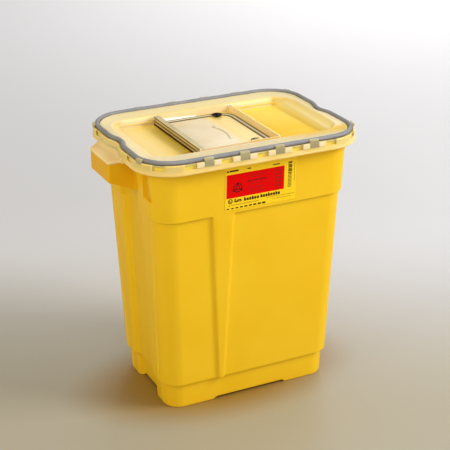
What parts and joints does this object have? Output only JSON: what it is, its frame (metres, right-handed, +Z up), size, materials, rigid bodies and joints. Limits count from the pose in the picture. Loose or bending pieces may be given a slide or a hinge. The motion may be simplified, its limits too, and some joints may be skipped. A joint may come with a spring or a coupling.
{
  "type": "sharps container",
  "caption": "Yellow laboratory sharps bin with hooded end handles, a translucent gasketed lid and a clear sliding door over the deposit opening.",
  "frame": {"origin": "centre of the base, on the surface that the feet stand on", "axes": "+X along the long side to the right, -Y towards the labelled front, +Z up"},
  "size_m": [0.451, 0.298, 0.47],
  "materials": {
    "yellow_plastic": "satin moulded polypropylene with a very fine grain",
    "milky_plastic": "translucent natural polypropylene",
    "grey_rubber": "smooth grey elastomer cord",
    "clear_plastic": "clear glossy moulded plastic",
    "label_film": "printed satin film",
    "hazard_film": "printed satin film"
  },
  "bodies": {
    "bin": {"collector_body": "yellow_plastic", "front_label": "label_film", "hazard_label": "hazard_film"},
    "lid": {"lid": "milky_plastic", "lid_gasket": "grey_rubber"},
    "door": {"slide_door": "clear_plastic", "door_gasket": "grey_rubber"},
    "stud_front": {"lock_stud_front": "clear_plastic"},
    "stud_back": {"lock_stud_back": "clear_plastic"}
  },
  "joints": [
    {"name": "lid_lift", "type": "slide", "parent": "bin", "child": "lid", "axis": [0, 0, 1], "range_m": [0, 0.1]},
    {"name": "door_slide", "type": "slide", "parent": "lid", "child": "door", "axis": [-1, 0, 0], "range_m": [0, 0.061]},
    {"name": "lock_front", "type": "slide", "parent": "door", "child": "stud_front", "axis": [0, 0, -1], "range_m": [0, 0.002]},
    {"name": "lock_back", "type": "slide", "parent": "door", "child": "stud_back", "axis": [0, 0, -1], "range_m": [0, 0.002]}
  ]
}
